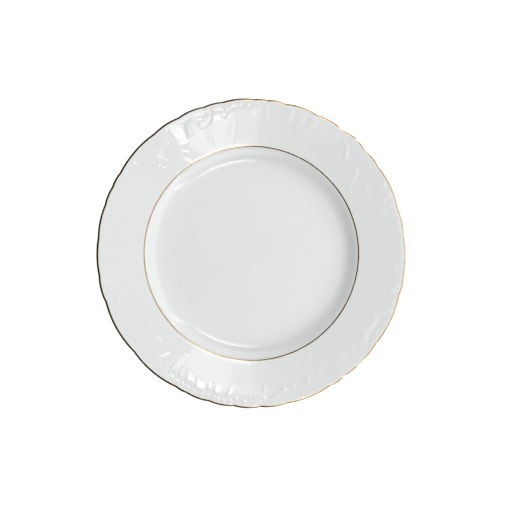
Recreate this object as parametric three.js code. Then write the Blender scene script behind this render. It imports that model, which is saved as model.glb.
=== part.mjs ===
// China dinner plate with a gilt scalloped edge and a gilt line round its well.
// Millimetres, +Z up. The foot ring stands on z = 0 and the plate is centred on the Z axis.
import * as THREE from "three";

// ---- driving dimensions ------------------------------------------------
const EDGE_RADIUS = 129.8; // mean radius of the fired body's scalloped edge
const WELL_FLOOR_RADIUS = 66; // where the flat floor ends and starts to curve up into the wall
const WELL_FLOOR_Z = 6.4;
const VERGE_RADIUS = 90.5; // centre of the gilt line, where the wall turns into the flange
const VERGE_LINE_WIDTH = 1.15;
const FLANGE_START_RADIUS = 93.2; // just outside the gilt line, where the flange turns straight
const FLANGE_START_Z = 16.067;
const FLANGE_SLOPE_DEG = 11;
const FLANGE_END_RADIUS = 126.6;
const FOOT_INNER_RADIUS = 72.6; // flat unglazed band that meets the table
const FOOT_OUTER_RADIUS = 75.6;
const FOOT_RECESS_Z = 2.4; // underside of the floor inside the foot ring
const GILT_THICKNESS = 0.16; // gilding drawn thick enough to be a solid
const GILT_GAP = 0.05; // keeps the gilding just clear of the glaze under it
const SCALLOP_START_RADIUS = 100; // inside this radius the plate is round
const SCALLOP_FULL_RADIUS = 125; // outside it the surface follows the scallops fully

// Scallops of the edge: each lobe starts at a cusp. [angle of the cusp in degrees from +X towards +Y,
// offset of the cusp from the mean radius, how far the lobe bulges beyond the line between its cusps]
const LOBES = [
  [6.5, -0.71, 0.71],
  [16.5, -0.98, 1.03],
  [34.0, -0.47, 0.46],
  [43.0, -0.39, 1.42],
  [53.0, -1.14, 1.09],
  [64.5, -1.12, 1.07],
  [77.0, -1.09, 0.81],
  [84.0, -0.46, 0.37],
  [89.0, -0.3, 0.82],
  [100.5, -0.33, 0.51],
  [108.0, -0.37, 0.87],
  [118.5, -0.35, 0.74],
  [129.0, -0.16, 0.8],
  [148.5, -0.38, 0.53],
  [154.5, -0.3, 0.49],
  [161.5, -0.2, 0.58],
  [174.0, -0.31, 0.45],
  [188.5, -0.3, 0.83],
  [198.5, -0.72, 0.99],
  [220.0, -0.98, 1.05],
  [240.5, -0.82, 0.36],
  [245.0, -0.52, 0.71],
  [254.0, -0.62, 0.82],
  [263.5, -0.77, 0.89],
  [273.5, -0.67, 0.87],
  [283.5, -0.4, 0.85],
  [300.5, -0.34, 0.67],
  [308.0, -0.36, 0.85],
  [324.0, -0.28, 1.06],
  [344.5, -0.55, 0.84],
  [351.5, -0.2, 0.51],
];
const SEGMENT_DEG = 2; // target size of one facet round the plate

// ---- stations round the plate: every cusp is a vertex --------------------
const stations = [];
LOBES.forEach(([start, cusp, bulge], i) => {
  const [next, nextCusp] = LOBES[(i + 1) % LOBES.length];
  const span = (next - start + 360) % 360;
  const steps = Math.max(3, Math.round(span / SEGMENT_DEG));
  for (let k = 0; k < steps; k++) {
    const t = k / steps;
    const angle = THREE.MathUtils.degToRad(start + span * t);
    const offset = cusp + (nextCusp - cusp) * t + bulge * 4 * t * (1 - t);
    stations.push({ cos: Math.cos(angle), sin: Math.sin(angle), offset });
  }
});

// The scallops grow smoothly from nothing to their full depth across the flange.
function follow(radius) {
  return THREE.MathUtils.smoothstep(
    radius,
    SCALLOP_START_RADIUS,
    SCALLOP_FULL_RADIUS,
  );
}

// One ring of vertices at [radius, z].
function ringPoints([radius, z]) {
  const share = follow(radius);
  return stations.map(({ cos, sin, offset }) => {
    const r = radius + share * offset;
    return [r * cos, r * sin, z];
  });
}

// A closed skin swept round Z from a profile that runs outwards over the top and back underneath.
// With capped true the profile starts and ends on the axis; otherwise it closes on itself.
function turned(profile, capped) {
  const n = stations.length;
  const positions = [];
  const index = [];
  const rings = capped ? profile.slice(1, -1) : profile;
  rings.forEach((p) => ringPoints(p).forEach((v) => positions.push(...v)));
  const last = capped ? rings.length - 1 : rings.length;
  for (let j = 0; j < last; j++) {
    const here = j * n;
    const there = ((j + 1) % rings.length) * n;
    for (let i = 0; i < n; i++) {
      const k = (i + 1) % n;
      index.push(here + i, there + i, there + k);
      index.push(here + i, there + k, here + k);
    }
  }
  if (capped) {
    const top = positions.length / 3;
    positions.push(0, 0, profile[0][1]);
    const bottom = positions.length / 3;
    positions.push(0, 0, profile[profile.length - 1][1]);
    const end = (rings.length - 1) * n;
    for (let i = 0; i < n; i++) {
      const k = (i + 1) % n;
      index.push(top, i, k);
      index.push(bottom, end + k, end + i);
    }
  }
  const geometry = new THREE.BufferGeometry();
  geometry.setAttribute(
    "position",
    new THREE.Float32BufferAttribute(positions, 3),
  );
  geometry.setIndex(index);
  geometry.computeVertexNormals();
  return geometry;
}

// ---- section of the fired body -------------------------------------------
const slope = Math.tan(THREE.MathUtils.degToRad(FLANGE_SLOPE_DEG));
const flangeTop = (radius) =>
  FLANGE_START_Z + (radius - FLANGE_START_RADIUS) * slope;
const lineInner = VERGE_RADIUS - VERGE_LINE_WIDTH / 2;
const lineOuter = VERGE_RADIUS + VERGE_LINE_WIDTH / 2;

const vergeTop = [
  [lineInner, 15.119],
  [lineOuter, 15.554],
];
const lipTop = [
  [EDGE_RADIUS - 1.7, 22.84],
  [EDGE_RADIUS - 0.55, 22.66],
  [EDGE_RADIUS, 21.78],
];

const bodySection = [
  [0, WELL_FLOOR_Z],
  [WELL_FLOOR_RADIUS, WELL_FLOOR_Z],
  // wall of the well
  [70.0, 6.465],
  [74.0, 6.671],
  [77.0, 6.971],
  [79.1, 7.375],
  [81.2, 8.17],
  [83.3, 9.51],
  [85.6, 11.52],
  [87.9, 13.75],
  ...vergeTop,
  // flange
  [FLANGE_START_RADIUS, FLANGE_START_Z],
  [105, flangeTop(105)],
  [116, flangeTop(116)],
  [FLANGE_END_RADIUS, flangeTop(FLANGE_END_RADIUS)],
  // rounded lip
  ...lipTop,
  [EDGE_RADIUS - 0.35, 20.93],
  [EDGE_RADIUS - 1.5, 20.13],
  // underside of the flange and wall
  [116, 17.58],
  [105, 15.03],
  [95, 12.68],
  [90, 10.55],
  [86.5, 7.6],
  [83.0, 4.9],
  [79.5, 3.1],
  [77.4, 2.25],
  // foot ring
  [76.3, 0.55],
  [FOOT_OUTER_RADIUS, 0],
  [FOOT_INNER_RADIUS, 0],
  [71.8, 0.6],
  [70.2, FOOT_RECESS_Z - 0.1],
  [67.5, FOOT_RECESS_Z],
  [0, FOOT_RECESS_Z],
];

// A thin band laid on part of the body's section: the section's points are moved along their normals.
function layered(points, distance) {
  return points.map(([r, z], i) => {
    const a = points[Math.max(0, i - 1)];
    const b = points[Math.min(points.length - 1, i + 1)];
    const along = new THREE.Vector2(b[0] - a[0], b[1] - a[1]).normalize();
    return [r - along.y * distance, z + along.x * distance];
  });
}
function giltSection(points) {
  return [
    ...layered(points, GILT_GAP + GILT_THICKNESS),
    ...layered(points, GILT_GAP).reverse(),
  ];
}

// ---- materials -----------------------------------------------------------
const glazedPorcelain = new THREE.MeshStandardMaterial({
  color: 0xe6e8e7,
  roughness: 0.12,
  metalness: 0,
});
const burnishedGold = new THREE.MeshStandardMaterial({
  color: 0xb98f4a,
  roughness: 0.28,
  metalness: 1,
});

// ---- the plate -----------------------------------------------------------
function part(name, geometry, material) {
  const mesh = new THREE.Mesh(geometry, material);
  mesh.name = name;
  return mesh;
}

const plate = new THREE.Group();
plate.name = "dinner_plate";
plate.add(
  part("plate_body", turned(bodySection, true), glazedPorcelain),
  part("rim_gilt_band", turned(giltSection(lipTop), false), burnishedGold),
  part("well_gilt_line", turned(giltSection(vergeTop), false), burnishedGold),
);

export default plate;
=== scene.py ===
# China dinner plate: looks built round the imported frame. Metres, +Z up, foot ring on z = 0.
import math

import bpy
import numpy as np
from mathutils import Matrix, Vector


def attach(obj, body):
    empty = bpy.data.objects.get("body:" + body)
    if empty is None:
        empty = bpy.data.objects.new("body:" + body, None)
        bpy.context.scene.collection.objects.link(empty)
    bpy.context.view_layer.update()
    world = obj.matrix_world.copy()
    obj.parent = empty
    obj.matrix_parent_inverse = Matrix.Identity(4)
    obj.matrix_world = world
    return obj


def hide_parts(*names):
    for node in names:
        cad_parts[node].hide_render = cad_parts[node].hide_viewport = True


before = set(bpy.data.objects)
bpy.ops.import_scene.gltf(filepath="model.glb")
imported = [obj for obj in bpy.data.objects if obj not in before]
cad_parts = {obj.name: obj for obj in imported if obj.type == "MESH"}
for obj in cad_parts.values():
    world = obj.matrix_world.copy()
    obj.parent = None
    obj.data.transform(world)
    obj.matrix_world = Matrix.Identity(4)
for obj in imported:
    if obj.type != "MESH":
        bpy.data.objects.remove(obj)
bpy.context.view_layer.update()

MM = 0.001

# ---------------------------------------------------------------- dimensions (mm)
EDGE_R = 130.25
FLOOR_R, FLOOR_Z = 66.0, 6.4
VERGE_R, VERGE_W = 90.5, 1.15
FLANGE_Z0, FLANGE_R0, FLANGE_TAN = 16.067, 93.2, math.tan(math.radians(11))
FOOT_IN, FOOT_OUT, RECESS_Z = 72.6, 75.6, 2.4
SCALLOP_R0, SCALLOP_R1 = 100.0, 125.0
UNIT = 0.84  # the relief below is laid out on a grid of 0.84 mm

# edge scallops: cusp angle, cusp offset, bulge (mm)
LOBES = [
    (6.5, -0.71, 0.71), (16.5, -0.98, 1.03), (34.0, -0.47, 0.46), (43.0, -0.39, 1.42), (53.0, -1.14, 1.09),
    (64.5, -1.12, 1.07), (77.0, -1.09, 0.81), (84.0, -0.46, 0.37), (89.0, -0.3, 0.82), (100.5, -0.33, 0.51),
    (108.0, -0.37, 0.87), (118.5, -0.35, 0.74), (129.0, -0.16, 0.8), (148.5, -0.38, 0.53), (154.5, -0.3, 0.49),
    (161.5, -0.2, 0.58), (174.0, -0.31, 0.45), (188.5, -0.3, 0.83), (198.5, -0.72, 0.99), (220.0, -0.98, 1.05),
    (240.5, -0.82, 0.36), (245.0, -0.52, 0.71), (254.0, -0.62, 0.82), (263.5, -0.77, 0.89), (273.5, -0.67, 0.87),
    (283.5, -0.4, 0.85), (300.5, -0.34, 0.67), (308.0, -0.36, 0.85), (324.0, -0.28, 1.06), (344.5, -0.55, 0.84),
    (351.5, -0.2, 0.51),
]


def edge_offset(deg):
    """Offset of the edge from its mean radius, in mm, at angles in degrees."""
    a = np.mod(np.asarray(deg, float), 360.0)
    out = np.zeros_like(a)
    n = len(LOBES)
    for i, (start, cusp, bulge) in enumerate(LOBES):
        nxt, ncusp, _ = LOBES[(i + 1) % n]
        span = (nxt - start) % 360.0
        t = np.mod(a - start, 360.0) / span
        k = t < 1.0
        out[k] = (cusp + (ncusp - cusp) * t + bulge * 4 * t * (1 - t))[k]
    return out


def smoothstep(x, a, b):
    t = np.clip((np.asarray(x, float) - a) / (b - a), 0, 1)
    return t * t * (3 - 2 * t)


def pchip(xs, ys):
    """Monotone cubic through the points; returns a function."""
    xs, ys = np.asarray(xs, float), np.asarray(ys, float)
    h = np.diff(xs)
    d = np.diff(ys) / h
    m = np.zeros_like(ys)
    m[0], m[-1] = d[0], d[-1]
    for i in range(1, len(xs) - 1):
        if d[i - 1] * d[i] <= 0:
            m[i] = 0
        else:
            w1, w2 = 2 * h[i] + h[i - 1], h[i] + 2 * h[i - 1]
            m[i] = (w1 + w2) / (w1 / d[i - 1] + w2 / d[i])

    def f(x):
        x = np.asarray(x, float)
        i = np.clip(np.searchsorted(xs, x) - 1, 0, len(xs) - 2)
        t = (x - xs[i]) / h[i]
        return ((2 * t**3 - 3 * t**2 + 1) * ys[i] + (t**3 - 2 * t**2 + t) * h[i] * m[i]
                + (-2 * t**3 + 3 * t**2) * ys[i + 1] + (t**3 - t**2) * h[i] * m[i + 1])

    return f


def flange(r):
    return FLANGE_Z0 + (r - FLANGE_R0) * FLANGE_TAN


# slope of the glazed surface in degrees, from the flat floor through the wall to the straight flange
WALL_SLOPE = pchip(
    [66, 70, 73, 75.5, 77.0, 77.8, 78.8, 79.9, 81.2, 83, 84.8, 86.4, 87.6, 88.6, 89.4, 90.0, 90.5, 91.3, 92.2, 93.4, 95],
    [0, 1.9, 3.4, 5.2, 7.2, 9.1, 12.0, 17.0, 25.4, 35.9, 42.6, 45.1, 42.6, 36.4, 29.8, 24.2, 20.2, 16.1, 13, 11.2, 11],
)
wall_r = np.arange(FLOOR_R, 95.0001, 0.01)
wall_z = np.concatenate([[0], np.cumsum(np.tan(np.radians(WALL_SLOPE(wall_r[:-1] + 0.005))) * 0.01)])
wall_z = FLOOR_Z + wall_z * (flange(95) - FLOOR_Z) / wall_z[-1]


def TOP(r):
    """Height of the glazed upper surface at a radius, without its relief."""
    return np.where(np.asarray(r) < 95, np.interp(r, wall_r, wall_z), flange(np.asarray(r, float)))


# ---------------------------------------------------------------- relief on the flange
# The relief is low and soft. A stroke is a list of (angle deg, radius in units), a half-width or widths (units) and how
# steep its flanks are (rise over run); a negative steepness cuts a groove. Its height follows from the two.
STROKES = []
SHELLS = []


def S(points, width, steep, skew=1.0):
    """skew widens the flank on the left of the direction of travel and leaves the other as it is."""
    w = np.full(len(points), width, float) if np.isscalar(width) else np.asarray(width, float)
    STROKES.append((points, w, steep * w * UNIT / 1.5, skew))


def bead(a, r, size=1.9, steep=0.13):
    S([(a, r - 0.01), (a, r + 0.01)], size, steep)


def lobe(a, r0, r1, w0, w1, height, a0=None, edge=4.0):
    """A shell lobe that widens and rises outwards from r0 to a rounded tip at r1; height in mm."""
    SHELLS.append((a, a if a0 is None else a0, r0, r1, w0, w1, height, edge, 0.0))


def petal(a, r0, r1, w0, w1, height, a0=None, edge=8.0, tail=3.6):
    """A broad petal that climbs ever faster to a crest at r1 and falls away over the tail beyond it."""
    SHELLS.append((a, a if a0 is None else a0, r0, r1, w0, w1, height, edge, tail))


# right-hand shell, all but flat
for a, w in [(337.5, 3.4), (341.0, 3.4), (347.6, 3.4), (350.8, 3.2), (358.0, 3.6), (1.6, 3.6), (4.9, 3.2), (8.6, 3.4), (12.0, 3.4),
             (15.4, 3.2), (19.0, 3.6), (23.0, 3.8), (27.4, 4.2)]:
    lobe(a, 134, 151.5, w * 0.6, w, 0.3, edge=2.2)
petal(345.0, 137.5, 144.8, 3.2, 4.0, 0.32, edge=3.0, tail=7.0)
petal(354.6, 136.5, 143.4, 3.0, 3.9, 0.36, edge=3.0, tail=8.5)
S([(320.6, 149.4), (323.4, 146.2), (326.2, 143.8), (329.6, 144.2), (333.4, 145.8), (337.2, 149.0)], [1.8, 3.0, 3.4, 3.4, 3.2, 2.0], -0.10)

# leaf cluster and diagonal stems, upper right
S([(15.9, 131.0), (16.6, 136.0), (18.6, 139.8), (22.4, 143.6)], [2.0, 2.8, 2.8, 2.0], 0.10, 2.2)
S([(19.0, 130.5), (19.6, 136.5)], [1.6, 2.6], 0.06)
S([(22.4, 132.5), (23.0, 138.5)], [1.6, 2.6], 0.06)
S([(25.8, 123.5), (26.2, 128.0), (27.6, 132.0), (31.4, 133.2)], [1.8, 2.6, 2.8, 2.0], 0.08, 2.4)
S([(33.0, 146.5), (34.0, 139.8)], [1.6, 2.2], -0.08)
S([(31.6, 116.2), (34.6, 119.2), (35.6, 123.4), (36.9, 128.6), (37.6, 132.2), (39.2, 135.8)], [1.6, 2.4, 2.4, 2.6, 2.8, 2.0],
  [0.10, 0.125, 0.12, 0.135, 0.14, 0.13], 1.9)
S([(45.2, 131.6), (46.4, 137.6), (48.0, 142.6), (50.6, 147.2)], [1.8, 2.6, 2.6, 1.8], 0.13, 1.6)
S([(42.2, 138.0), (44.2, 133.0), (47.4, 121.5)], [2.0, 2.4, 1.6], 0.07)
S([(54.2, 149.0), (54.3, 143.5), (55.8, 136.5)], [2.0, 2.6, 1.8], 0.09)

# top shell: broad, very shallow flutes
for a, w, r1, h in [(59.6, 5.0, 150.5, 0.12), (64.6, 5.4, 150.5, 0.13), (69.8, 5.4, 150.8, 0.11), (75.0, 5.6, 151.0, 0.09)]:
    lobe(a, 122, r1, w * 0.5, w, h, a0=a + (74 - a) * 0.16, edge=2.4)
S([(83.8, 149.5), (83.8, 137.0)], 2.0, 0.03)
S([(87.5, 145.0), (87.8, 135.0)], 1.8, 0.02)
bead(87.0, 147.0, 1.9, 0.15)

# scroll group, upper left
petal(97.6, 124, 142.0, 21.0, 24.5, 0.20, edge=5.0, tail=9.0)
petal(92.6, 130, 143.6, 9.0, 11.0, 0.26, edge=6.0)
petal(104.2, 128, 143.4, 7.2, 9.4, 0.40, a0=103.6)
S([(100.8, 136.4), (99.4, 140.0), (97.2, 143.4)], [2.0, 2.8, 2.4], 0.14)
S([(101.9, 142.8), (101.4, 140.2), (101.0, 138.0)], [1.8, 2.0, 1.2], -0.12)
bead(91.2, 149.5, 2.3, 0.17)
bead(94.5, 150.2, 2.5, 0.18)
S([(96.4, 150.2), (98.2, 149.0)], 2.4, 0.24)
bead(99.8, 147.0, 3.2, 0.18)
S([(101.8, 148.4), (103.4, 149.6), (105.6, 149.4)], [2.2, 2.6, 2.0], 0.22)
S([(107.0, 150.6), (107.9, 148.6)], 1.6, 0.15)
S([(105.9, 148.5), (106.5, 142.6), (107.8, 138.2), (109.8, 135.6), (112.0, 136.6), (112.6, 140.2), (111.4, 142.8), (110.0, 142.0)],
  [2.2, 2.3, 2.2, 2.0, 1.9, 1.8, 1.6, 1.3], -0.20)
S([(107.9, 149.0), (108.9, 146.0), (109.6, 143.8)], [1.5, 1.7, 1.3], -0.16)
S([(109.6, 146.9), (112.4, 147.6), (115.4, 147.9), (118.4, 148.2)], [1.2, 1.5, 1.5, 1.2], -0.16)
S([(113.6, 146.4), (115.9, 144.4), (116.9, 140.4), (117.0, 136.0), (117.8, 132.6)], [3.0, 4.0, 4.3, 4.3, 3.4], 0.20)
S([(124.6, 148.6), (124.8, 142.0), (124.4, 135.0), (122.6, 129.2), (119.6, 127.6)], [2.6, 3.2, 3.0, 2.6, 1.8], -0.14)
S([(109.9, 129.0), (109.6, 123.0), (109.4, 117.0)], [2.2, 3.6, 2.4], 0.05)
S([(97.8, 141.0), (97.0, 132.0), (98.0, 122.0), (100.0, 112.5)], [1.6, 2.6, 3.0, 2.0], -0.03)
S([(123.6, 125.2), (122.3, 123.4), (121.2, 121.4)], [1.6, 2.5, 1.6], 0.14)
S([(125.0, 119.8), (123.7, 115.4), (122.4, 111.2)], [1.5, 3.0, 1.6], 0.13)
S([(131.4, 128.4), (131.7, 132.2), (131.0, 136.4), (129.8, 139.8)], [2.0, 2.6, 2.8, 3.0], 0.12, 2.0)
bead(130.3, 139.6, 2.8, 0.13)
bead(135.6, 128.3, 2.5, 0.20)
bead(135.0, 123.8, 2.5, 0.20)
bead(130.6, 116.6, 2.2, 0.07)

# left-hand shell
for a, w in [(141.0, 4.2), (145.4, 4.2), (149.6, 4.0), (153.6, 3.6), (157.6, 3.8), (161.6, 3.6), (165.8, 4.2), (170.2, 4.2), (174.6, 4.0),
             (178.8, 4.2), (183.2, 4.2), (187.6, 4.2), (191.8, 3.8)]:
    lobe(a, 137, 151.5, w * 0.6, w, 0.10 if a < 164 else 0.26, edge=2.2)

# lines and leaves, lower left
S([(194.8, 138.8), (196.6, 141.4), (199.6, 142.6), (203.6, 143.6)], [1.4, 2.0, 2.2, 1.4], 0.20, 2.6)
for a in (196.4, 199.4, 202.4):
    S([(a, 130.5), (a, 137.5)], [1.6, 2.8], 0.08)
S([(204.9, 142.4), (205.6, 139.6), (206.8, 137.0)], [1.4, 1.8, 1.2], 0.14)
S([(207.2, 137.6), (208.6, 135.0), (208.0, 131.6)], [1.6, 2.4, 1.6], 0.08)
S([(211.2, 128.4), (213.4, 128.9), (216.8, 133.4)], [1.2, 1.8, 1.3], -0.16)
S([(211.2, 127.0), (210.4, 121.5)], [2.2, 1.6], 0.04)
S([(221.2, 143.4), (219.6, 138.0)], [1.6, 1.9], -0.05)
bead(222.3, 127.2, 2.0, 0.16)
bead(224.4, 127.1, 2.1, 0.18)
bead(222.8, 120.9, 2.0, 0.14)
S([(224.8, 129.8), (226.4, 132.0), (229.0, 135.2)], [1.5, 1.9, 1.5], -0.09)
S([(222.0, 124.0), (219.4, 121.6), (216.0, 117.4)], [1.7, 2.4, 1.7], -0.07)
S([(230.9, 132.0), (230.0, 136.2), (230.3, 140.0), (231.2, 143.8), (232.0, 146.6), (233.6, 149.0), (236.0, 149.8)],
  [3.6, 4.2, 3.8, 4.0, 4.2, 3.6, 2.6], 0.075, 0.5)
bead(230.2, 134.4, 2.6, 0.14)
bead(232.6, 148.2, 2.4, 0.15)
bead(234.8, 149.6, 2.4, 0.16)
S([(234.8, 146.4), (234.0, 139.0), (234.2, 130.0), (235.4, 122.0)], [2.4, 3.2, 3.4, 2.6], -0.16)
S([(234.2, 121.4), (237.8, 118.8)], [2.6, 3.2], -0.07)

# bottom shell
petal(256.6, 124, 141.5, 46.0, 50.0, 0.20, edge=4.0, tail=10.0)
for a, a0, r1, w0, w1, h in [(237.2, 239.6, 140.0, 1.8, 2.4, 0.34), (240.0, 241.4, 141.0, 2.0, 2.6, 0.38), (244.3, 244.8, 141.6, 4.6, 5.6, 0.48),
                             (249.1, 249.1, 144.4, 5.2, 6.3, 0.54), (252.8, 252.4, 141.6, 2.4, 3.1, 0.42), (256.5, 255.8, 143.6, 3.6, 4.5, 0.50),
                             (261.2, 262.6, 142.8, 2.8, 3.7, 0.46)]:
    petal(a, r1 - 15, r1, w0, w1, h, a0=a0)

# beads along the lower edge
for a, r, w in [(237.6, 147.6, 1.6), (240.0, 147.8, 1.9), (242.3, 147.8, 2.0), (244.6, 148.3, 1.9), (247.2, 149.1, 2.2), (250.6, 149.8, 2.3),
                (252.8, 148.9, 2.1), (255.1, 147.9, 2.2), (256.9, 149.3, 2.0), (259.3, 150.2, 2.1), (261.8, 149.4, 2.1),
                (263.9, 146.5, 2.5), (267.3, 149.4, 2.2), (274.6, 145.4, 2.0), (264.8, 137.6, 1.2)]:
    bead(a, r, w * 1.25, 0.20)
bead(267.2, 142.0, 2.3, 0.16)
bead(267.2, 139.8, 2.0, 0.15)
S([(269.8, 149.8), (271.6, 149.6), (273.2, 148.4)], [1.8, 2.4, 1.8], 0.17)
for a, r in [(275.1, 139.8), (275.3, 137.4), (275.6, 135.2)]:
    bead(a, r, 2.1, 0.15)
for a in (270.4, 272.2, 278.0, 279.6, 281.4, 284.2):
    S([(a, 147.0), (a, 135.0)], [1.5, 1.0], -0.045)

# leaves and strokes, lower right
S([(277.6, 147.0), (280.2, 143.8), (283.6, 140.6)], [1.9, 2.5, 2.4], 0.17)
S([(287.5, 141.6), (287.4, 137.6)], 2.1, 0.07)
S([(290.2, 143.4), (292.6, 142.0), (294.2, 138.4), (295.2, 134.0)], [1.9, 2.8, 2.6, 1.8], 0.085)
S([(296.6, 137.0), (297.0, 130.0)], [2.0, 2.4], 0.05)
bead(300.4, 134.8, 3.0, 0.08)
S([(296.4, 122.0), (298.2, 118.6), (300.6, 115.4)], [1.8, 2.6, 1.8], 0.08)
S([(303.2, 130.0), (304.2, 122.0), (305.2, 113.6)], [2.0, 2.8, 2.0], 0.05)
S([(308.0, 144.6), (309.2, 139.0), (311.0, 133.0)], [1.8, 2.4, 2.0], 0.065)
S([(309.8, 147.6), (310.4, 141.6), (312.4, 133.4), (313.4, 127.4)], [1.8, 2.2, 2.2, 1.6], 0.06)
S([(315.6, 131.4), (315.2, 126.0), (313.6, 120.6)], [1.8, 2.4, 1.6], 0.08)
S([(314.9, 134.6), (316.3, 136.6), (317.8, 134.8), (318.4, 131.2)], [2.6, 3.6, 3.6, 2.6], 0.07, 0.8)
S([(320.4, 137.8), (322.4, 139.8), (324.4, 137.4), (325.6, 133.2)], [3.6, 5.0, 5.0, 3.6], 0.075, 0.85)
S([(327.0, 137.8), (329.4, 139.8), (332.0, 138.6), (333.9, 134.8)], [3.6, 5.0, 5.0, 3.6], 0.075, 0.85)


def densify(points, widths, heights):
    """Catmull-Rom through the polar points, in mm, with widths and heights carried along."""
    p = np.array([[r * UNIT * math.cos(math.radians(a)), r * UNIT * math.sin(math.radians(a))] for a, r in points])
    n = len(p)
    w = np.full(n, widths, float) if np.isscalar(widths) else np.asarray(widths, float)
    h = np.full(n, heights, float) if np.isscalar(heights) else np.asarray(heights, float)
    q = np.column_stack([p, w * UNIT, h])
    if n < 3:
        return q
    ext = np.vstack([2 * q[0] - q[1], q, 2 * q[-1] - q[-2]])
    out = []
    for i in range(1, n):
        a, b, c, d = ext[i - 1], ext[i], ext[i + 1], ext[i + 2]
        steps = max(2, int(np.linalg.norm(c[:2] - b[:2]) / 0.5))
        for k in range(steps):
            t = k / steps
            v = 0.5 * (2 * b + (c - a) * t + (2 * a - 5 * b + 4 * c - d) * t**2 + (3 * b - a - 3 * c + d) * t**3)
            v[2:] = b[2:] * (1 - t) + c[2:] * t
            out.append(v)
    out.append(q[-1])
    return np.array(out)


def relief(x, y):
    """Height of the relief above the plain flange, in mm, at points given in mm."""
    up = np.zeros_like(x)
    down = np.zeros_like(x)
    for points, widths, heights, skew in STROKES:
        q = densify(points, widths, heights)
        reach = q[:, 2].max() * max(skew, 1.0)
        k = np.where((x > q[:, 0].min() - reach) & (x < q[:, 0].max() + reach) & (y > q[:, 1].min() - reach)
                     & (y < q[:, 1].max() + reach))[0]
        if not len(k):
            continue
        best = np.full(len(k), -1.0)
        value = np.zeros(len(k))
        px, py = x[k], y[k]
        for a, b in zip(q[:-1], q[1:]):
            d = b[:2] - a[:2]
            t = np.clip(((px - a[0]) * d[0] + (py - a[1]) * d[1]) / max(d @ d, 1e-12), 0, 1)
            dist = np.hypot(px - a[0] - t * d[0], py - a[1] - t * d[1])
            w = a[2] + (b[2] - a[2]) * t
            if skew != 1.0:
                w = np.where(d[0] * (py - a[1]) - d[1] * (px - a[0]) > 0, w * skew, w)
            h = a[3] + (b[3] - a[3]) * t
            u = np.clip(dist / w, 0, 1)
            v = h * (1 - u * u) ** 1.6
            better = np.abs(v) > best
            best = np.where(better, np.abs(v), best)
            value = np.where(better, v, value)
        pos = np.clip(value, 0, None)
        up[k] = up[k] + pos**5
        down[k] = np.minimum(down[k], value)
    rho = np.hypot(x, y) / UNIT
    phi = np.degrees(np.arctan2(y, x)) % 360.0
    for a, a0, r0, r1, w0, w1, height, edge, tail in SHELLS:
        t = (rho - r0) / (r1 - r0)
        if tail:
            centre = a0 + (a - a0) * np.clip(t, 0, 1)
            off = (phi - centre + 180.0) % 360.0 - 180.0
            k = np.where((t > 0) & (rho < r1 + tail) & (np.abs(off) < 30.0))[0]
            if not len(k):
                continue
            # smooth minimum of the climb and the fall, so that the crest is rounded
            climb = np.clip(t[k], 0, None) ** 2.0
            fall = 1 - (rho[k] - r1) / tail
            edge_w = 0.035
            m_ = 0.5 * (climb + fall - np.sqrt((climb - fall) ** 2 + edge_w**2))
            w = w0 + (w1 - w0) * np.clip(t[k], 0, 1)
            u = np.abs(np.radians(off[k])) * rho[k] / w
            up[k] = up[k] + (height * np.clip(m_, 0, None) * np.clip(1 - u**edge, 0, 1)) ** 5
            continue
        centre = a0 + (a - a0) * t
        off = (phi - centre + 180.0) % 360.0 - 180.0
        k = np.where((t > 0) & (t < 1) & (np.abs(off) < 8.0))[0]
        if not len(k):
            continue
        tk = t[k]
        w = w0 + (w1 - w0) * tk
        cap = min(w1 * 0.9, 4.0)
        v = np.clip((rho[k] - (r1 - cap)) / cap, 0, 1)
        u = np.abs(np.radians(off[k])) * rho[k] / w
        body_ = np.clip(1 - u**edge - v**3.0, 0, 1)
        up[k] = up[k] + (height * smoothstep(tk, 0.0, 0.75) * body_) ** 5
    return up ** 0.2 + down


# ---------------------------------------------------------------- mesh helpers
def mesh_object(name, verts_mm, faces, smooth=True):
    me = bpy.data.meshes.new(name)
    me.from_pydata((np.asarray(verts_mm) * MM).tolist(), [], faces)
    me.update()
    if smooth:
        me.polygons.foreach_set("use_smooth", [True] * len(me.polygons))
    ob = bpy.data.objects.new(name, me)
    bpy.context.scene.collection.objects.link(ob)
    return ob


FINE, COARSE = 1080, 270
fine_deg = np.arange(FINE) * 360.0 / FINE
coarse_deg = np.arange(COARSE) * 360.0 / COARSE


def ring_xy(r, deg):
    """One ring that follows the scallops outside SCALLOP_R0: x, y and how far it slides up the flange's cone."""
    out = smoothstep(r, SCALLOP_R0, SCALLOP_R1) * edge_offset(deg)
    a = np.radians(deg)
    return (r + out) * np.cos(a), (r + out) * np.sin(a), out * FLANGE_TAN


# ---------------------------------------------------------------- the fired body
lip_top = [(EDGE_R - 1.8, 22.84), (EDGE_R - 1.5, 22.81), (EDGE_R - 1.2, 22.73), (EDGE_R - 0.9, 22.62), (EDGE_R - 0.6, 22.48),
           (EDGE_R - 0.35, 22.33), (EDGE_R - 0.12, 22.14), (EDGE_R - 0.02, 21.88)]
lip_low = [(EDGE_R, 21.45), (EDGE_R - 0.08, 21.05), (EDGE_R - 0.34, 20.68), (EDGE_R - 0.8, 20.38), (EDGE_R - 1.5, 20.17)]
under = pchip(
    [FOOT_OUT + 1.9, 79.5, 83.0, 86.5, 90, 95, 105, 116, EDGE_R - 1.5],
    [2.3, 3.1, 4.9, 7.6, 10.55, 12.68, 15.03, 17.58, 20.17],
)

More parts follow.
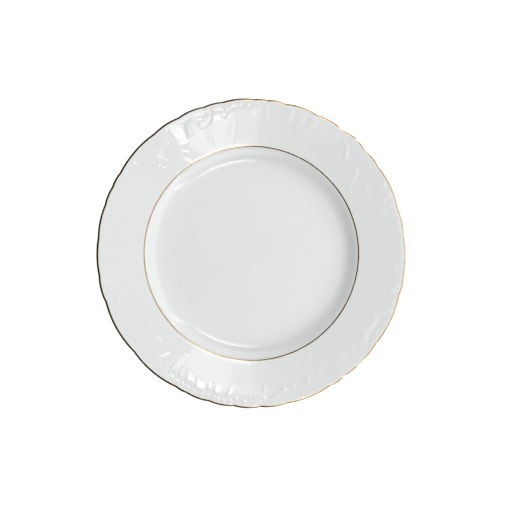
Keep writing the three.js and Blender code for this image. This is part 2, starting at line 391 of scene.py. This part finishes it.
rings = []  # (kind, radius, z): kind f fine, c coarse
for r in (12, 28, 44, 56, 62, 65, 67, 69, 71, 73, 74.5, 75.8, 76.8, 77.6, 78.3, 79.0, 79.7, 80.4, 81.2, 82.1, 83.0, 84.0, 85.0, 86.0,
          87.0, 87.8, 88.5, 89.1, 89.7, 90.3, 90.9, 91.5, 92.1):
    rings.append(("c", r, float(TOP(r))))
r = 93.0
while r < 103.5:
    rings.append(("f", r, float(TOP(r))))
    r += 1.1
while r < 126.7:
    rings.append(("f", r, float(TOP(r))))
    r += 0.5
rings.append(("f", 127.2, flange(127.2) + 0.03))
for r, z in lip_top + lip_low:
    rings.append(("f", r, z))
for r in (127.2, 125.4):
    rings.append(("f", r, float(under(r))))
for r in (122.5, 119, 115, 110, 105, 100, 96.5, 94, 92, 90.3, 88.7, 87.1, 85.5, 84, 82.5, 81, 79.6, 78.5):
    rings.append(("c", r, float(under(r))))
# foot ring: fillet, outer wall, rounded edges, flat contact band, inner wall, recess
for r, z in [(77.6, 2.36), (77.15, 2.12), (76.85, 1.7), (76.55, 1.1), (76.3, 0.6), (76.05, 0.28), (75.85, 0.1), (75.55, 0.0)]:
    rings.append(("c", r, z))
for r, z in [(75.1, 0.0), (74.1, 0.0), (73.1, 0.0), (72.65, 0.0), (72.35, 0.1), (72.1, 0.3), (71.8, 0.7), (71.4, 1.25), (70.95, 1.75),
             (70.4, 2.1), (69.6, 2.3), (68.3, 2.38), (64, 2.4), (50, 2.42), (30, 2.45), (12, 2.46)]:
    rings.append(("c", r, z))

verts, faces, starts = [], [], []
for kind, r, z in rings:
    starts.append(len(verts))
    deg = fine_deg if kind == "f" else coarse_deg
    x, y, lift = ring_xy(r, deg)
    verts.extend(zip(x, y, z + lift))
verts = np.array(verts)


def band(i, j):
    """Faces between ring i and ring j, outward for a profile that runs over the top and back underneath."""
    a, b = starts[i], starts[j]
    ki, kj = rings[i][0], rings[j][0]
    if ki == kj:
        n = FINE if ki == "f" else COARSE
        for k in range(n):
            m = (k + 1) % n
            faces.append((a + k, b + k, b + m, a + m))
        return
    ratio = FINE // COARSE
    for k in range(COARSE):
        m = (k + 1) % COARSE
        if kj == "f":
            inner = [b + (k * ratio + s) % FINE for s in range(ratio + 1)]
            half = ratio // 2
            for s in range(half):
                faces.append((a + k, inner[s], inner[s + 1]))
            faces.append((a + k, inner[half], a + m))
            for s in range(half, ratio):
                faces.append((a + m, inner[s], inner[s + 1]))
        else:
            inner = [a + (k * ratio + s) % FINE for s in range(ratio + 1)]
            half = ratio // 2
            for s in range(half):
                faces.append((inner[s], b + k, inner[s + 1]))
            faces.append((inner[half], b + k, b + m))
            for s in range(half, ratio):
                faces.append((inner[s], b + m, inner[s + 1]))


band_first = {}
for i in range(len(rings) - 1):
    band_first[i] = len(faces)
    band(i, i + 1)
top_centre = len(verts)
verts = np.vstack([verts, [[0, 0, FLOOR_Z], [0, 0, 2.46]]])
for k in range(COARSE):
    m = (k + 1) % COARSE
    faces.append((top_centre, starts[0] + k, starts[0] + m))
    faces.append((top_centre + 1, starts[-1] + m, starts[-1] + k))

# relief goes on the upper side of the flange only, fading out at the lip
top_side = np.zeros(len(verts), bool)
for s, (kind, r, z) in zip(starts, rings):
    if kind == "f" and z >= flange(r) - 0.6 and r > 92.5:
        top_side[s:s + FINE] = True
xx, yy = verts[top_side, 0], verts[top_side, 1]
bump_mm = relief(xx, yy)
edge_local = np.hypot(xx, yy) - edge_offset(np.degrees(np.arctan2(yy, xx)))
verts[top_side, 2] += bump_mm * (1 - smoothstep(edge_local, 127.2, 128.4))

body = mesh_object("porcelain_body", verts, faces)
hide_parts("plate_body")
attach(body, "root")


# ---------------------------------------------------------------- gilding
def gilt_ring(name, section, n, wobble, thick):
    """A thin closed band laid on the section [(r, z)], in mm, with edges that wander as a hand-held brush does."""
    deg = np.arange(n) * 360.0 / n
    a = np.radians(deg)
    sec = np.array(section, float)
    m = len(sec)
    along = np.gradient(sec[:, :2], axis=0)
    along /= np.linalg.norm(along, axis=1)[:, None]
    normal = np.column_stack([-along[:, 1], along[:, 0]])
    u = np.linspace(0, 1, m)
    lift = thick * np.sqrt(np.clip(1 - (2 * u - 1) ** 6, 0, 1))
    wob = sum(c * np.sin(k * a + ph) for k, c, ph in wobble)
    vs = []
    for layer in (0, 1):
        for j in (range(m) if layer == 0 else range(m - 1, -1, -1)):
            r0, z0 = sec[j, 0], sec[j, 1]
            shift = wob * (1 - u[j]) if name.startswith("rim") else wob * (1 if u[j] > 0.5 else -0.6)
            d = (lift[j] + 0.012) if layer == 0 else -0.05
            rr = r0 + along[j, 0] * shift + normal[j, 0] * d
            zz = z0 + along[j, 1] * shift + normal[j, 1] * d
            share = smoothstep(r0, SCALLOP_R0, SCALLOP_R1)
            out = share * edge_offset(deg)
            vs.append(np.column_stack([(rr + out) * np.cos(a), (rr + out) * np.sin(a), zz + out * FLANGE_TAN]))
    count = len(vs)
    fs = []
    for j in range(count):
        jn = (j + 1) % count
        for k in range(n):
            kn = (k + 1) % n
            fs.append((j * n + k, jn * n + k, jn * n + kn, j * n + kn))
    return mesh_object(name, np.vstack(vs), fs)


rim_section = [(EDGE_R - 1.72, 22.832), (EDGE_R - 1.6, 22.82), (EDGE_R - 1.5, 22.81), (EDGE_R - 1.35, 22.77), (EDGE_R - 1.2, 22.73),
               (EDGE_R - 0.9, 22.62), (EDGE_R - 0.6, 22.48), (EDGE_R - 0.35, 22.33), (EDGE_R - 0.22, 22.23), (EDGE_R - 0.12, 22.14),
               (EDGE_R - 0.06, 22.03), (EDGE_R - 0.02, 21.88), (EDGE_R - 0.005, 21.62)]
rim_gilt = gilt_ring("rim_gilding", rim_section, 1440,
                     [(1, 0.16, 1.5), (7, 0.05, 0.4), (13, 0.04, 1.9), (29, 0.03, 2.6), (53, 0.025, 0.8), (97, 0.02, 4.1)], 0.03)
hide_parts("rim_gilt_band")
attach(rim_gilt, "root")

line_r = np.linspace(VERGE_R - VERGE_W / 2, VERGE_R + VERGE_W / 2, 7)
line_gilt = gilt_ring("well_gilding", [(r, float(TOP(r))) for r in line_r], 1080,
                      [(5, 0.02, 0.3), (11, 0.018, 2.2), (31, 0.015, 1.2), (67, 0.014, 5.0)], 0.03)
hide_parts("well_gilt_line")
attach(line_gilt, "root")


# ---------------------------------------------------------------- materials
def new_material(name):
    mat = bpy.data.materials.new(name)
    mat.use_nodes = True
    nt = mat.node_tree
    nt.nodes.clear()
    out = nt.nodes.new("ShaderNodeOutputMaterial")
    bsdf = nt.nodes.new("ShaderNodeBsdfPrincipled")
    nt.links.new(bsdf.outputs[0], out.inputs[0])
    return mat, nt, bsdf


def noise(nt, scale, detail=2.0, rough=0.5, vector=None):
    n = nt.nodes.new("ShaderNodeTexNoise")
    n.inputs["Scale"].default_value = scale
    n.inputs["Detail"].default_value = detail
    n.inputs["Roughness"].default_value = rough
    if vector is not None:
        nt.links.new(vector, n.inputs["Vector"])
    return n


def ramp(nt, fac, stops):
    r = nt.nodes.new("ShaderNodeValToRGB")
    els = r.color_ramp.elements
    els[0].position, els[0].color = stops[0][0], stops[0][1]
    els[1].position, els[1].color = stops[-1][0], stops[-1][1]
    for pos, col in stops[1:-1]:
        e = els.new(pos)
        e.color = col
    nt.links.new(fac, r.inputs["Fac"])
    return r


# white porcelain under a clear gloss glaze
mat, nt, b = new_material("glazed_porcelain")
tc = nt.nodes.new("ShaderNodeTexCoord")
cloud = noise(nt, 28, 3, 0.55, tc.outputs["Object"])
tint = ramp(nt, cloud.outputs["Fac"], [(0.35, (0.800, 0.818, 0.812, 1)), (0.65, (0.812, 0.826, 0.820, 1))])
nt.links.new(tint.outputs["Color"], b.inputs["Base Color"])
b.inputs["Roughness"].default_value = 0.22
b.inputs["IOR"].default_value = 1.5
b.inputs["Coat Weight"].default_value = 1.0
b.inputs["Coat Roughness"].default_value = 0.035
b.inputs["Coat IOR"].default_value = 1.5
b.inputs["Specular IOR Level"].default_value = 0.25
peel = noise(nt, 140, 2, 0.5, tc.outputs["Object"])
bump = nt.nodes.new("ShaderNodeBump")
bump.inputs["Strength"].default_value = 0.18
bump.inputs["Distance"].default_value = 0.00012
nt.links.new(peel.outputs["Fac"], bump.inputs["Height"])
nt.links.new(bump.outputs["Normal"], b.inputs["Coat Normal"])
porcelain = mat

# bare fired clay on the foot ring's resting band
mat, nt, b = new_material("foot_bisque")
tc = nt.nodes.new("ShaderNodeTexCoord")
grain = noise(nt, 2200, 4, 0.7, tc.outputs["Object"])
stain = noise(nt, 60, 3, 0.6, tc.outputs["Object"])
col = ramp(nt, stain.outputs["Fac"], [(0.35, (0.56, 0.55, 0.52, 1)), (0.7, (0.68, 0.68, 0.66, 1))])
nt.links.new(col.outputs["Color"], b.inputs["Base Color"])
b.inputs["Roughness"].default_value = 0.75
bump = nt.nodes.new("ShaderNodeBump")
bump.inputs["Strength"].default_value = 0.5
bump.inputs["Distance"].default_value = 0.00008
nt.links.new(grain.outputs["Fac"], bump.inputs["Height"])
nt.links.new(bump.outputs["Normal"], b.inputs["Normal"])
bisque = mat

# fired, burnished gold: brush streaks round the plate and a little wear
mat, nt, b = new_material("burnished_gold")
tc = nt.nodes.new("ShaderNodeTexCoord")
streak = noise(nt, 900, 4, 0.6, tc.outputs["Object"])
wear = noise(nt, 45, 4, 0.6, tc.outputs["Object"])
col = ramp(nt, wear.outputs["Fac"], [(0.3, (0.76, 0.53, 0.29, 1)), (0.55, (0.86, 0.64, 0.40, 1)), (0.75, (0.92, 0.72, 0.49, 1))])
nt.links.new(col.outputs["Color"], b.inputs["Base Color"])
b.inputs["Metallic"].default_value = 1.0
rough = ramp(nt, streak.outputs["Fac"], [(0.3, (0.06, 0.06, 0.06, 1)), (0.7, (0.15, 0.15, 0.15, 1))])
nt.links.new(rough.outputs["Color"], b.inputs["Roughness"])
bump = nt.nodes.new("ShaderNodeBump")
bump.inputs["Strength"].default_value = 0.25
bump.inputs["Distance"].default_value = 0.00003
nt.links.new(streak.outputs["Fac"], bump.inputs["Height"])
nt.links.new(bump.outputs["Normal"], b.inputs["Normal"])
gold = mat

body.data.materials.append(porcelain)
body.data.materials.append(bisque)
slots = np.zeros(len(body.data.polygons), np.int32)
for i in range(len(rings) - 1):
    (_, r1, z1), (_, r2, z2) = rings[i], rings[i + 1]
    if z1 <= 0.001 and z2 <= 0.001:
        slots[band_first[i]:band_first[i] + COARSE] = 1
body.data.polygons.foreach_set("material_index", slots)
rim_gilt.data.materials.append(gold)
line_gilt.data.materials.append(gold)

# ---------------------------------------------------------------- floor
floor = mesh_object("floor", [(-4000, -4000, -0.05), (4000, -4000, -0.05), (4000, 4000, -0.05), (-4000, 4000, -0.05)], [(0, 1, 2, 3)],
                    smooth=False)
mat, nt, b = new_material("pale_floor")
tc = nt.nodes.new("ShaderNodeTexCoord")
fn = noise(nt, 3, 2, 0.5, tc.outputs["Object"])
col = ramp(nt, fn.outputs["Fac"], [(0.3, (0.90, 0.90, 0.90, 1)), (0.7, (0.92, 0.92, 0.92, 1))])
nt.links.new(col.outputs["Color"], b.inputs["Base Color"])
b.inputs["Roughness"].default_value = 0.9
b.inputs["Specular IOR Level"].default_value = 0.0
b.inputs["Emission Color"].default_value = (1, 1, 1, 1)
b.inputs["Emission Strength"].default_value = 0.5
floor.data.materials.append(mat)
floor.visible_glossy = False


# ---------------------------------------------------------------- light
def area(name, where, aim, size_x, size_y, radiance, spin=0.0):
    data = bpy.data.lights.new(name, "AREA")
    data.shape = "RECTANGLE"
    data.size, data.size_y = size_x, size_y
    data.energy = radiance * math.pi * size_x * size_y
    data.color = (1, 1, 1)
    ob = bpy.data.objects.new(name, data)
    bpy.context.scene.collection.objects.link(ob)
    direction = (Vector(aim) - Vector(where)).normalized()
    ob.location = where
    ob.rotation_mode = "QUATERNION"
    q = direction.to_track_quat("-Z", "Y")
    ob.rotation_quaternion = (q.to_matrix().to_4x4() @ Matrix.Rotation(math.radians(spin), 4, "Z")).to_quaternion()
    ob.visible_camera = False
    return ob


for sign, tag in ((-1, "lower"), (1, "upper")):
    # broad panels to the right light the body; they are kept out of the glaze, where they would read as more windows
    panel = area("panel_" + tag, (0.58, sign * 0.85, 0.60), (0, 0, 0), 0.6, 0.6, (3.65 if sign < 0 else 3.25))
    panel.visible_glossy = False
    # a softbox beside the camera axis: dim along its near and left edges, bright beyond
    left, middle, right, far = (-0.012, 0.040, 0.105, 0.012) if sign < 0 else (-0.006, 0.035, 0.120, 0.0)
    for part, x0, x1, y0, y1, radiance in (("edge", left, middle, 0.150, 0.255, 1.4), ("near", middle, right, 0.150, 0.255, 2.6),
                                           ("far_left", far - 0.03, far, 0.26, 0.51, 1.8), ("far", far, 0.22, 0.26, 0.51, 4.8),
                                           ("far_right", 0.22, 0.27, 0.26, 0.51, 1.0)):
        x, y = (x0 + x1) / 2, sign * (y0 + y1) / 2
        area("softbox_" + part + "_" + tag, (x, y, 1.0), (x, y, 0), x1 - x0, y1 - y0, radiance)
    # a long strip low on the right
    lo_end, hi_end = np.array([0.95, sign * 0.81, 0.18]), np.array([0.64, sign * 0.72, 0.87])
    mid, run = (lo_end + hi_end) / 2, np.linalg.norm(hi_end - lo_end)
    strip = area("strip_" + tag, tuple(mid), (0, 0, 0), 0.09, run, 2.6)
    back = Vector(mid).normalized()
    along = Vector(hi_end - lo_end)
    along = (along - along.dot(back) * back).normalized()
    side = along.cross(back)
    strip.rotation_quaternion = Matrix((side, along, back)).transposed().to_quaternion()

area("softbox_corner", (0.099, -0.162, 1.002), (0.099, -0.162, 0), 0.026, 0.034, 3.0)

world = bpy.data.worlds.new("studio")
bpy.context.scene.world = world
world.use_nodes = True
wn = world.node_tree
wn.nodes.clear()


def wnode(kind, **inputs):
    node = wn.nodes.new(kind)
    for key_, value in inputs.items():
        node.inputs[key_].default_value = value
    return node


# The room: pale where the camera sees it, even for the body's own shading, and in reflections dark to the left
# and bright to the right, as a studio with its lights on one side is.
wout = wnode("ShaderNodeOutputWorld")
path = wnode("ShaderNodeLightPath")
wtc = wnode("ShaderNodeTexCoord")
sep = wnode("ShaderNodeSeparateXYZ")
wn.links.new(wtc.outputs["Generated"], sep.inputs[0])
half = wnode("ShaderNodeMath")
half.operation = "MULTIPLY_ADD"
half.inputs[1].default_value, half.inputs[2].default_value = 0.5, 0.5
wn.links.new(sep.outputs["X"], half.inputs[0])
level = wnode("ShaderNodeValToRGB")
els = level.color_ramp.elements
els[0].position, els[0].color = 0.44, (0.02, 0.02, 0.02, 1)
els[1].position, els[1].color = 1.0, (1.3, 1.3, 1.3, 1)
for pos, v in ((0.56, 0.30), (0.64, 0.66), (0.71, 0.66), (0.78, 0.42), (0.84, 0.62), (0.89, 1.5), (0.95, 1.5)):
    e = els.new(pos)
    e.color = (v, v, v, 1)
wn.links.new(half.outputs[0], level.inputs["Fac"])


def wmap(value, lo_, hi_, out_):
    m = wnode("ShaderNodeMapRange")
    m.interpolation_type = "SMOOTHSTEP"
    m.inputs["From Min"].default_value, m.inputs["From Max"].default_value = lo_, hi_
    m.inputs["To Min"].default_value, m.inputs["To Max"].default_value = 0.0, out_
    wn.links.new(value, m.inputs["Value"])
    return m.outputs["Result"]


def wmath(op, one, two):
    m = wnode("ShaderNodeMath")
    m.operation = op
    wn.links.new(one, m.inputs[0])
    wn.links.new(two, m.inputs[1])
    return m.outputs[0]


ceiling = wmap(sep.outputs["Z"], 0.955, 0.985, 0.40)
low = wmath("MULTIPLY", wmap(sep.outputs["Z"], 0.36, 0.20, 1.6), wmap(sep.outputs["Z"], -0.10, 0.03, 1.0))
side_ = wmap(sep.outputs["X"], -0.95, 0.25, 1.0)
walls = wmath("MULTIPLY", wmath("MULTIPLY", wmath("MULTIPLY", sep.outputs["Y"], sep.outputs["Y"]), low), side_)
total = wmath("ADD", wmath("ADD", ceiling, walls), level.outputs["Color"])
shading = wnode("ShaderNodeBackground", Color=(1, 1, 1, 1), Strength=0.510)
mirror = wnode("ShaderNodeBackground", Color=(1, 1, 1, 1))
seen = wnode("ShaderNodeBackground", Color=(1, 1, 1, 1), Strength=1.0)
wn.links.new(total, mirror.inputs["Color"])
mix1, mix2 = wnode("ShaderNodeMixShader"), wnode("ShaderNodeMixShader")
wn.links.new(path.outputs["Is Glossy Ray"], mix1.inputs["Fac"])
wn.links.new(shading.outputs[0], mix1.inputs[1])
wn.links.new(mirror.outputs[0], mix1.inputs[2])
wn.links.new(path.outputs["Is Camera Ray"], mix2.inputs["Fac"])
wn.links.new(mix1.outputs[0], mix2.inputs[1])
wn.links.new(seen.outputs[0], mix2.inputs[2])
wn.links.new(mix2.outputs[0], wout.inputs[0])

# ---------------------------------------------------------------- camera: straight overhead
cam_data = bpy.data.cameras.new("camera")
cam_data.sensor_width = 36.0
cam_data.lens = 120.0
cam = bpy.data.objects.new("camera", cam_data)
bpy.context.scene.collection.objects.link(cam)
frame_width = 509 * UNIT * MM
distance = frame_width / 2 / (18.0 / 120.0)
cam.location = (2.6 * MM, -0.92 * MM, 0.0228 + distance)
cam.rotation_euler = (0, 0, 0)
cam_data.clip_start, cam_data.clip_end = 0.01, 50
bpy.context.scene.camera = cam

bpy.context.scene.view_settings.view_transform = "Standard"
bpy.context.scene.view_settings.look = "None"
bpy.context.scene.view_settings.exposure = 0.0
bpy.context.scene.view_settings.gamma = 1.0
